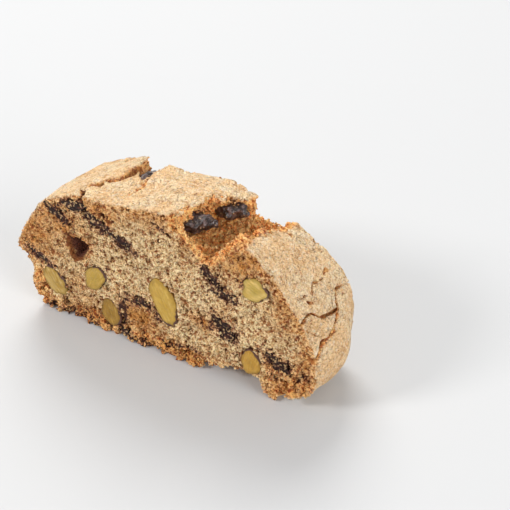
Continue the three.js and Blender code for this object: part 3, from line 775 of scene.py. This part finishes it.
notes = {
    "under_crust": np.minimum(crust_depth, z * 0.8 + 0.4),
    "crust": (1 - smooth(0.12, 0.6, crust_depth)) * (1 - peeled),
    "torn": raw,
    "sunk": sunk,
    "hole": smooth_wall,
    "shade": smooth(-11.8, -10.2, y) * (y < -6),
    # Painted shade in the pores: how far the skin lies inside the dough as it was before the
    # grains.
    "pore": np.clip(grid.sample(plain, skin) / -0.55, -1, 1),
    # browner patches, and painted shade along the bottom edge
    "brown": browning_and_base_shade,
    "tone": np.zeros(len(skin)),
    # chocolate stains, and painted shade along the bottom edge
    "smear": smear * smooth(0.1, 0.7, crust_depth),
}
for name, values in notes.items():
    note(dough, name, values)


class Nodes:
    """A material's nodes, joined up by short calls."""

    def __init__(self, name):
        self.material = bpy.data.materials.new(name)
        self.material.use_nodes = True
        self.tree = self.material.node_tree
        self.shader = self.tree.nodes["Principled BSDF"]

    def feed(self, socket, value):
        if isinstance(value, bpy.types.NodeSocket):
            self.tree.links.new(value, socket)
        else:
            socket.default_value = (*value, 1) if socket.type == "RGBA" else value

    def node(self, kind, inputs, **settings):
        """A node with its settings made and its inputs fed; gives back its outputs."""
        made = self.tree.nodes.new(kind)
        for key, value in settings.items():
            setattr(made, key, value)
        for key, value in inputs.items():
            self.feed(made.inputs[key], value)
        return made.outputs

    def place(self):
        return self.node("ShaderNodeTexCoord", {})["Object"]

    def noted(self, name):
        return self.node("ShaderNodeAttribute", {}, attribute_name=name)["Fac"]

    def noise_of(self, where, scale, detail, rough=0.5):
        inputs = {"Vector": where, "Scale": scale, "Detail": detail, "Roughness": rough}
        return self.node("ShaderNodeTexNoise", inputs)

    def noise(self, size, detail=2.0, rough=0.55):
        """Noise from 0 to 1 whose features are `size` millimetres apart."""
        return self.noise_of(self.place(), 1000 / size, detail, rough)["Fac"]

    def fibres(self):
        """Noise drawn out along a sliced kernel."""
        long = self.calc("MULTIPLY", self.noted("along"), 0.9)
        wide = self.calc("MULTIPLY", self.noted("across"), 3.6)
        where = self.node("ShaderNodeCombineXYZ", {"X": long, "Y": wide})["Vector"]
        return self.noise_of(where, 1.6, 3)["Fac"]

    def cells(self, size, bend=0.5, feature="F1"):
        """Distance to the nearest cell's middle or edge, and a random number for that cell. Noise
        pushes the cells about so that they don't look like cells."""
        push = self.noise_of(self.place(), 1000 / size, 1)["Color"]
        where = self.tint(push, (bend * size * 2 * MM,) * 3, self.place())
        inputs = {"Vector": where, "Scale": 1000 / size}
        made = self.node("ShaderNodeTexVoronoi", inputs, feature=feature)
        return made["Distance"], made.get("Color")

    def ramp(self, value, low, high, to_low=0.0, to_high=1.0):
        inputs = {0: value, 1: low, 2: high, 3: to_low, 4: to_high}
        return self.node("ShaderNodeMapRange", inputs, interpolation_type="SMOOTHSTEP")["Result"]

    def calc(self, operation, a, b):
        return self.node("ShaderNodeMath", {0: a, 1: b}, operation=operation)[0]

    def mix(self, share, a, b):
        return self.node("ShaderNodeMix", {0: share, 6: a, 7: b}, data_type="RGBA")[2]

    def layers(self, colour, *coats):
        """Lays colours over one another, each by its share."""
        for share, over in coats:
            colour = self.mix(share, colour, over)
        return colour

    def tint(self, colour, times, plus=(0.0, 0.0, 0.0)):
        inputs = {0: colour, 1: times, 2: plus}
        return self.node("ShaderNodeVectorMath", inputs, operation="MULTIPLY_ADD")[0]

    def bump(self, *coats):
        """Relief from coats of (height, distance in millimetres, strength)."""
        under = {}
        for height, distance, strength in coats:
            inputs = {"Height": height, "Distance": distance * MM, "Strength": strength, **under}
            under = {"Normal": self.node("ShaderNodeBump", inputs)["Normal"]}
        return under["Normal"]

    def finish(self, piece, **inputs):
        for key, value in inputs.items():
            self.feed(self.shader.inputs[key.replace("_", " ")], value)
        piece.data.materials.append(self.material)


FLOURED = (1.0, 0.84, 0.62)
n = Nodes("baked_dough")
broad = n.noise(9, 3)
patchy = n.noise(3.0, 3, 0.6)
pits = n.noise(1.6, 3, 0.65)
grain = n.noise(0.8, 2, 0.6)
dust = n.noise(0.3, 1)
flour = n.noise(4.6, 4, 0.7)
granule, shade = n.cells(0.56, 0.8)
speck, chance = n.cells(3.1, 0.4)
edge, _ = n.cells(5.2, 0.6, "DISTANCE_TO_EDGE")
fine_edge, _ = n.cells(2.3, 0.8, "DISTANCE_TO_EDGE")

# The crumb: straw, brown under the crust and in baked patches, orange where it tore.
brownness = n.calc("ADD", n.noted("under_crust"), n.ramp(patchy, 0.3, 0.7, -1.9, 1.9))
browned_and_base_shade = n.calc("MULTIPLY", n.noted("brown"), n.ramp(patchy, 0.3, 0.65, 1.3, 0.8))
torn = n.calc("MULTIPLY", n.noted("torn"), n.ramp(patchy, 0.3, 0.7, 1.0, 0.7))
# Painted shade in the soft pits, where the relief sinks; less of it on torn crumb.
pit_shade = n.calc("MULTIPLY", n.ramp(pits, 0.49, 0.38, 0, 0.85), n.ramp(torn, 0.3, 1.0, 1, 0.3))
baked = n.calc("MAXIMUM", browned_and_base_shade, torn)
crumb = n.layers(
    n.mix(n.ramp(broad, 0.4, 0.6), (0.68, 0.43, 0.195), (0.81, 0.515, 0.235)),
    (n.ramp(brownness, 0.3, 5.6, 0.9, 0.0), (0.80, 0.37, 0.10)),
    # Browner baked crumb, dark enough to paint the shade along the bottom edge as well.
    (browned_and_base_shade, (0.56, 0.225, 0.05)),
    # Torn crumb: its own orange, brightened as partly painted bounce light, and redder in the pits
    # as painted shade.
    (torn, n.mix(n.ramp(pits, 0.56, 0.42), (1.0, 0.54, 0.185), (0.93, 0.33, 0.075))),
)
crumb = n.mix(pit_shade, crumb, n.tint(crumb, (0.66, 0.42, 0.22)))
# A lighter copy of the crumb: painted highlight on its grains, partly their own paler tone.
pale_crumb_and_highlight = n.mix(
    baked,
    n.tint(crumb, (0.88, 0.88, 0.88), (0.42, 0.39, 0.27)),
    n.tint(crumb, (1.1, 1.12, 1.1), (0.19, 0.125, 0.048)),
)
# A darker copy of the crumb: painted shade in the gaps and pores between its grains, partly their
# own darker tone.
dark_crumb_and_shade = n.mix(
    baked,
    n.tint(crumb, (0.25, 0.125, 0.065)),
    n.tint(crumb, (0.55, 0.28, 0.15)),
)
# How light each spot of crumb is: the cells' and grains' own tone at random, with painted shade at
# the edges of the cells, in the pits and in the pores.
lightness = n.noted("tone")
for value, *limits in (
    (shade, 0.1, 0.95, 0.1, 1.2),
    (granule, 0.45, 0.7, 0, -0.7),
    (grain, 0.38, 0.62, -0.35, 0.45),
    (dust, 0.38, 0.6, -0.25, 0.4),
    (pits, 0.40, 0.33, 0, -0.85),
    # painted shade in the pores
    (n.noted("pore"), 0.3, 1.0, 0, -0.6),
):
    lightness = n.calc("ADD", lightness, n.ramp(value, *limits))
crumb = n.layers(
    crumb,
    (n.ramp(lightness, 0.15, 1.0, 0, 1.0), pale_crumb_and_highlight),
    (n.ramp(lightness, -0.15, -0.75, 0, 1), dark_crumb_and_shade),
)

# The crust: sandy, mottled with brown and flour, specked and crackled, with painted shade along
# the crackle lines.
specked = n.calc("MULTIPLY", n.ramp(speck, 0.22, 0.1, 0, 0.45), n.ramp(chance, 0.5, 0.55))
crackle = n.calc("MULTIPLY", n.ramp(edge, 0.0, 0.035, 1, 0), n.ramp(broad, 0.52, 0.57))
fine_crackle = n.ramp(fine_edge, 0.0, 0.05, 1, 0)
fine_crackle = n.calc("MULTIPLY", fine_crackle, n.ramp(patchy, 0.58, 0.66, 0, 0.6))
crackle = n.calc("MAXIMUM", crackle, fine_crackle)
crust = n.layers(
    n.mix(n.ramp(broad, 0.38, 0.62), (0.97, 0.64, 0.335), (1.0, 0.75, 0.45)),
    (n.ramp(patchy, 0.5, 0.66, 0, 0.6), (0.80, 0.47, 0.19)),
    (n.ramp(grain, 0.53, 0.64, 0, 0.5), (0.60, 0.33, 0.14)),
    (n.ramp(shade, 0.6, 0.95, 0, 0.7), FLOURED),
    (n.ramp(dust, 0.38, 0.45, 0.4, 0), (0.48, 0.26, 0.115)),
    (specked, (0.27, 0.16, 0.105)),
    (n.ramp(flour, 0.56, 0.68, 0, 0.5), FLOURED),
    (n.ramp(flour, 0.44, 0.34, 0, 0.5), (0.74, 0.44, 0.2)),
    # Painted shade along the crackle lines, where the relief also sinks.
    (n.calc("MULTIPLY", crackle, 0.42), (0.48, 0.25, 0.10)),
)

# Both together, the caramel walls of the gas holes with painted shade deep in them, and the stains
# of melted chocolate, which along the bottom edge also paint the shade where the slice meets the
# table.
caramel = n.mix(n.ramp(patchy, 0.35, 0.65), (0.38, 0.13, 0.03), (0.24, 0.075, 0.02))
# Painted shade over the deep part of the gas holes.
caramel = n.mix(n.noted("shade"), caramel, (0.15, 0.05, 0.03))
# Chocolate stains, with painted shade along the bottom edge.
stain_and_base_shade = n.calc("ADD", n.noted("smear"), n.ramp(patchy, 0.35, 0.62, -0.42, 0.24))
stain_and_base_shade = n.calc("ADD", stain_and_base_shade, n.ramp(lightness, -0.7, 0.7, 0.35, -0.35))
colour = n.layers(
    n.mix(n.noted("crust"), crumb, crust),
    # Painted shade in the hollows and deep in the cracks.
    (n.ramp(n.noted("sunk"), 0.3, 0.9, 0, 0.65), (0.26, 0.088, 0.02)),
    (n.noted("hole"), caramel),
    (n.ramp(stain_and_base_shade, 0.15, 0.65, 0, 0.75), (0.40, 0.125, 0.05)),
    (n.ramp(stain_and_base_shade, 0.55, 0.84, 0, 0.97), (0.05, 0.016, 0.011)),
)
relief = n.bump(
    (pits, 0.8, 0.8),
    (grain, 0.8, 1.0),
    (granule, -0.5, 0.8),
    (dust, 0.25, 0.8),
    (crackle, -0.3, 0.9),
)
n.finish(
    dough,
    Base_Color=colour,
    Roughness=n.ramp(grain, 0.3, 0.7, 0.7, 0.95),
    Normal=relief,
    Subsurface_Weight=0.1,
    Subsurface_Scale=0.0008,
    Subsurface_Radius=(1.0, 0.5, 0.2),
    Specular_IOR_Level=0.3,
)
dough_material = n.material
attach(dough, "root")
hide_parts("biscuit")

# ---- Crumb grains --------------------------------------------------------------------------
# Grains of crumb that the knife and the tear left clinging to the cut faces, the torn valley
# and the crags: irregular, hard-edged, stuck to the dough.

GRAINS = 7000
GOLDEN = (1 + math.sqrt(5)) / 2
# One grain has the twelve corners and twenty faces of an icosahedron.
grain_points = []
for a in (-1, 1):
    for b in (-GOLDEN, GOLDEN):
        grain_points += [(0, a, b), (a, b, 0), (b, 0, a)]
grain_points = np.array(grain_points, float)
grain_points /= np.linalg.norm(grain_points[0])
grain_faces = []
for trio in itertools.combinations(range(12), 3):
    corners = grain_points[list(trio)]
    if max(np.linalg.norm(corners - np.roll(corners, 1, axis=0), axis=1)) < 1.1:
        outward = np.linalg.det(corners) > 0
        grain_faces.append(trio if outward else trio[::-1])
grain_faces = np.array(grain_faces)

ways = np.empty(len(skin) * 3, np.float32)
dough.data.vertices.foreach_get("normal", ways)
ways = ways.reshape(-1, 3)
open_crumb = (crust_depth > 0.35) & (z > 0.5) & (np.abs(y) < HALF + 0.1)
open_crumb &= (crack_near > 0.25) & (hole_near > 0.5)
likely = open_crumb * (0.35 + 1.3 * browning_and_base_shade + 1.2 * np.clip(raw, 0, 1))
spots = rng.choice(len(skin), GRAINS, replace=False, p=likely / likely.sum())
grain_size = 0.2 + 0.32 * rng.random((GRAINS, 1, 1)) ** 2
grain_size = grain_size * rng.uniform(0.7, 1.3, (GRAINS, 1, 3))
turns = np.linalg.qr(rng.normal(size=(GRAINS, 3, 3)))[0]
shapes = grain_points[None] * rng.uniform(0.75, 1.2, (GRAINS, 12, 1)) * grain_size
shapes = np.einsum("nij,nkj->nki", turns, shapes)
seats = ways[spots] * grain_size.mean(axis=(1, 2))[:, None] * rng.uniform(-0.2, 0.55, (GRAINS, 1))
places = shapes + (skin[spots] + seats)[:, None, :]
places = np.clip(places, (-50, -HALF - 0.25, 0.05), (48.5, HALF + 0.25, 48.6))
faces = grain_faces[None] + np.arange(GRAINS)[:, None, None] * 12
grains = mesh_from("crumb_grains", places.reshape(-1, 3), faces.reshape(-1, 3))
grains.data.shade_flat()
grain_notes = {name: np.zeros(GRAINS) for name in notes}
# Grains are mostly lighter than the crumb: partly their own tone at random, partly painted
# highlight.
grain_notes["tone"] = rng.normal(0.35, 0.4, GRAINS)
grain_notes["smear"] = smear[spots] * rng.uniform(0.2, 1.0, GRAINS)
for name in ("under_crust", "torn", "brown"):
    grain_notes[name] = notes[name][spots]
for name, values in grain_notes.items():
    note(grains, name, np.repeat(values, 12))
grains.data.materials.append(dough_material)
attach(grains, "root")

# ---- Pistachios ----------------------------------------------------------------------------
# Shelled kernels baked in the dough and sliced through with it: yellow-green waxy flesh, a
# seam between the two seed leaves and a thin purple-brown skin left on part of the rim.

AROUND = 72
TOP_RINGS = 14
BODY_RINGS = 9
ROUNDING = 0.22
ROUND_FROM = 0.82
PROUD = 0.05
DOMED = 0.12
KERNEL_SKIN = (0.09, 0.037, 0.028)
KERNEL_SIDE = (0.36, 0.19, 0.045)


def sliced_kernel(name, side, centre, long, wide, turn, deep, ragged, seed):
    """A kernel sliced flush with a cut face: a slightly domed top and a rounded body below it."""
    angles = np.arange(AROUND) * 2 * math.pi / AROUND
    edge = outline_radius(angles, ragged, seed)
    top = np.linspace(0, 0.5 * math.pi, TOP_RINGS + 1)[1:]
    body = np.linspace(0, 0.5 * math.pi, BODY_RINGS + 1)[1:-1]
    r = np.concatenate([np.sin(top), np.cos(body)])[:, None]
    down = np.concatenate([0 * top, np.sin(body)])[:, None]
    u = long * edge * np.cos(angles) * r
    v = wide * edge * np.sin(angles) * r
    dome = DOMED * np.sin(1.9 * u + seed) * np.cos(2.3 * v + 2 * seed) * (1 - r)
    rim = ROUNDING * np.maximum(r - ROUND_FROM, 0) / (1 - ROUND_FROM)
    sunk = np.where(down == 0, rim - dome, down * deep + ROUNDING)
    c, s = math.cos(math.radians(turn)), math.sin(math.radians(turn))
    x = centre[0] + u * c - v * s
    z = centre[1] + u * s + v * c
    points = np.stack([x, side * (HALF + PROUD - sunk), z], axis=2).reshape(-1, 3)
    poles = [[centre[0], side * (HALF + PROUD - low), centre[1]] for low in (0, deep + ROUNDING)]
    points = np.concatenate([points, poles])
    last = (len(r) - 1) * AROUND
    middle, bottom = last + AROUND, last + AROUND + 1
    faces = []
    for a in range(AROUND):
        b = (a + 1) % AROUND
        for here in range(0, last, AROUND):
            there = here + AROUND
            faces.append((here + a, there + a, there + b))
            faces.append((here + a, there + b, here + b))
        faces.append((middle, a, b))
        faces.append((last + b, last + a, bottom))
    faces = np.array(faces)
    piece = mesh_from(name.replace("pistachio", "kernel"), points, faces[:, ::-side])
    u, v = turned(points[:, 0], points[:, 2], centre, turn)
    note(piece, "radius", np.append(np.repeat(r, AROUND), (0, 0)))
    note(piece, "flat", np.append(np.repeat(down == 0, AROUND), (1, 0)))
    note(piece, "along", u / long)
    note(piece, "across", v / wide)
    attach(piece, "root")
    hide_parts(name)
    return piece


def times(colour, *shares):
    return tuple(channel * share for channel, share in zip(colour, shares * 3))


def kernel_material(name, flesh, core, streak, skin_turn, core_share):
    n = Nodes(name)
    across = n.calc("ADD", n.noted("across"), n.ramp(n.noise(3.2, 2), 0.2, 0.8, -0.16, 0.16))
    radius = n.calc("ADD", n.noted("radius"), n.ramp(n.noise(2.0, 2), 0.2, 0.8, -0.1, 0.1))
    fibres = n.fibres()
    direction = n.calc(
        "ADD",
        n.calc("MULTIPLY", n.noted("along"), math.cos(math.radians(skin_turn))),
        n.calc("MULTIPLY", n.noted("across"), math.sin(math.radians(skin_turn))),
    )
    below = n.ramp(n.noted("flat"), 0.6, 0.2)
    skin = n.calc("MAXIMUM", n.ramp(radius, 0.9, 0.96), below)
    skin = n.calc("MULTIPLY", skin, n.ramp(direction, 0.15, 0.5))
    colour = n.layers(
        flesh,
        (n.ramp(n.noise(2.4, 3), 0.35, 0.7, 0, 0.7), streak),
        (n.ramp(fibres, 0.52, 0.66, 0, 0.7), times(streak, 1.15)),
        (n.ramp(fibres, 0.46, 0.34, 0, 0.5), times(core, 0.85)),
        (n.ramp(radius, 0.66, 1.0, 0, 0.7), times(core, 0.7, 0.66, 0.5)),
        (n.ramp(radius, 0.15, 0.75, core_share, 0), core),
        (n.ramp(n.calc("ABSOLUTE", across, 0.0), 0.0, 0.08, 0.25, 0), times(core, 0.7)),
        (below, KERNEL_SIDE),
        (skin, KERNEL_SKIN),
    )
    relief = n.bump((n.noise(0.9, 3), 0.18, 0.5), (fibres, 0.3, 0.9))
    return n, n.tint(colour, (1.06, 1.02, 0.88)), relief


# Flesh, core and streak colours, which way the skin is left on and how far the core shows, in the
# order of KERNELS. The kernels of the back face share one set of colours.
FRONT_LOOKS = [
    ((0.40, 0.235, 0.035), (0.31, 0.195, 0.022), (0.58, 0.42, 0.17), -60, 0.4),
    ((0.445, 0.277, 0.05), (0.386, 0.26, 0.038), (0.504, 0.336, 0.076), -20, 0.5),
    ((0.504, 0.311, 0.059), (0.454, 0.286, 0.042), (0.571, 0.395, 0.101), 180, 0.5),
    ((0.33, 0.178, 0.022), (0.255, 0.143, 0.017), (0.42, 0.26, 0.055), -90, 0.5),
    ((0.554, 0.37, 0.092), (0.378, 0.277, 0.05), (0.672, 0.504, 0.202), 180, 0.7),
    ((0.47, 0.252, 0.038), (0.386, 0.218, 0.029), (0.554, 0.353, 0.076), 0, 0.5),
]
BACK_COLOURS = ((0.54, 0.34, 0.06), (0.44, 0.29, 0.04), (0.66, 0.46, 0.12))
for index, (name, spec) in enumerate(KERNELS.items()):
    front = index < len(FRONT_LOOKS)
    looks = FRONT_LOOKS[index] if front else (*BACK_COLOURS, 70 * index, 0.5)
    kernel = sliced_kernel(name, *spec, index + 1)
    n, colour, relief = kernel_material(name + "_flesh", *looks)
    n.finish(kernel, Base_Color=colour, Roughness=0.4, Normal=relief, Subsurface_Weight=0.15,
             Subsurface_Scale=0.001, Subsurface_Radius=(0.8, 0.7, 0.2), Specular_IOR_Level=0.4)

# ---- Chocolate -----------------------------------------------------------------------------
# Dark chocolate chunks stirred into the dough. They half melted as it baked, so those in the cut
# faces are ragged and smeared and those in the tears are rounded and glossy, with grey-brown
# blotches of bloom that are partly painted sheen.

CHIP_CELL = 0.2
SQUARENESS = 2.6
DARK = (0.022, 0.009, 0.007)
CRUMB_DUST = (0.58, 0.37, 0.18)


def chocolate(name, kind, body, box, bloom_and_sheen, crumbs, roughness, shine):
    """One piece of chocolate: its skin, what it stands for and its material."""
    points, faces = skin_of(body, box, 1)
    piece = mesh_from(name.replace("chocolate", kind), points, faces[:, ::-1])
    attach(piece, "root")
    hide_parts(name)
    n = Nodes(name + "_dark")
    specks = n.noise(0.75, 2)
    colour = n.layers(
        DARK,
        # Grey-brown blotches: bloom, partly painted sheen.
        (n.ramp(n.noise(1.3, 3), 0.47, 0.64), bloom_and_sheen),
        (n.ramp(specks, 0.66 - crumbs, 0.7 - crumbs, 0, 0.85), CRUMB_DUST),
    )
    relief = n.bump((n.noise(1.4, 2), 0.5, 0.9), (specks, 0.35, 0.8))
    n.finish(piece, Base_Color=colour, Roughness=roughness, Normal=relief, Specular_IOR_Level=shine)


for index, (name, spec) in enumerate(CHOCOLATE_CUTS.items()):
    side, centre, long, wide, turn, deep, ragged = spec
    reach = long * 1.5 + 0.6
    near, far = sorted((side * HALF, side * (HALF - deep - 0.8)))
    low = (centre[0] - reach, near, centre[1] - reach)
    box = Grid(low, (centre[0] + reach, far, centre[1] + reach), CHIP_CELL)
    u, v = turned(box.x, box.z, centre, turn)
    radius = ragged_radius(u / long, v / wide, ragged, index + CHOCOLATE_SEED)
    down = (HALF - side * box.y) / deep
    broken = 0.6 * box.lumps(1.7, 71) + 0.4 * box.lumps(0.8, 72)
    body = (np.sqrt(radius ** 2 + down ** 2) - 1) * wide + 0.6 * broken
    body = np.maximum(body, side * box.y - HALF + 0.35 + 0.35 * broken)
    chocolate(name, "chip", body, box, (0.10, 0.035, 0.021), 0.09, 0.42, 0.14)

for index, (name, (centre, half, turn)) in enumerate(CHUNKS.items()):
    reach = max(half) + 1.2
    box = Grid([v - reach for v in centre], [v + reach for v in centre], CHIP_CELL)
    u, v = turned(box.x, box.y, centre, turn)
    shares = (u / half[0], v / half[1], (box.z - centre[2]) / half[2])
    k = sum(np.abs(share) ** SQUARENESS for share in shares) ** (1 / SQUARENESS)
    body = (k - 1) * min(half) + 0.75 * box.lumps(2.4, 81 + index) + 0.3 * box.lumps(1.1, 85)
    chocolate(name, "chunk", body, box, (0.12, 0.07, 0.062), 0.0, 0.3, 0.6)
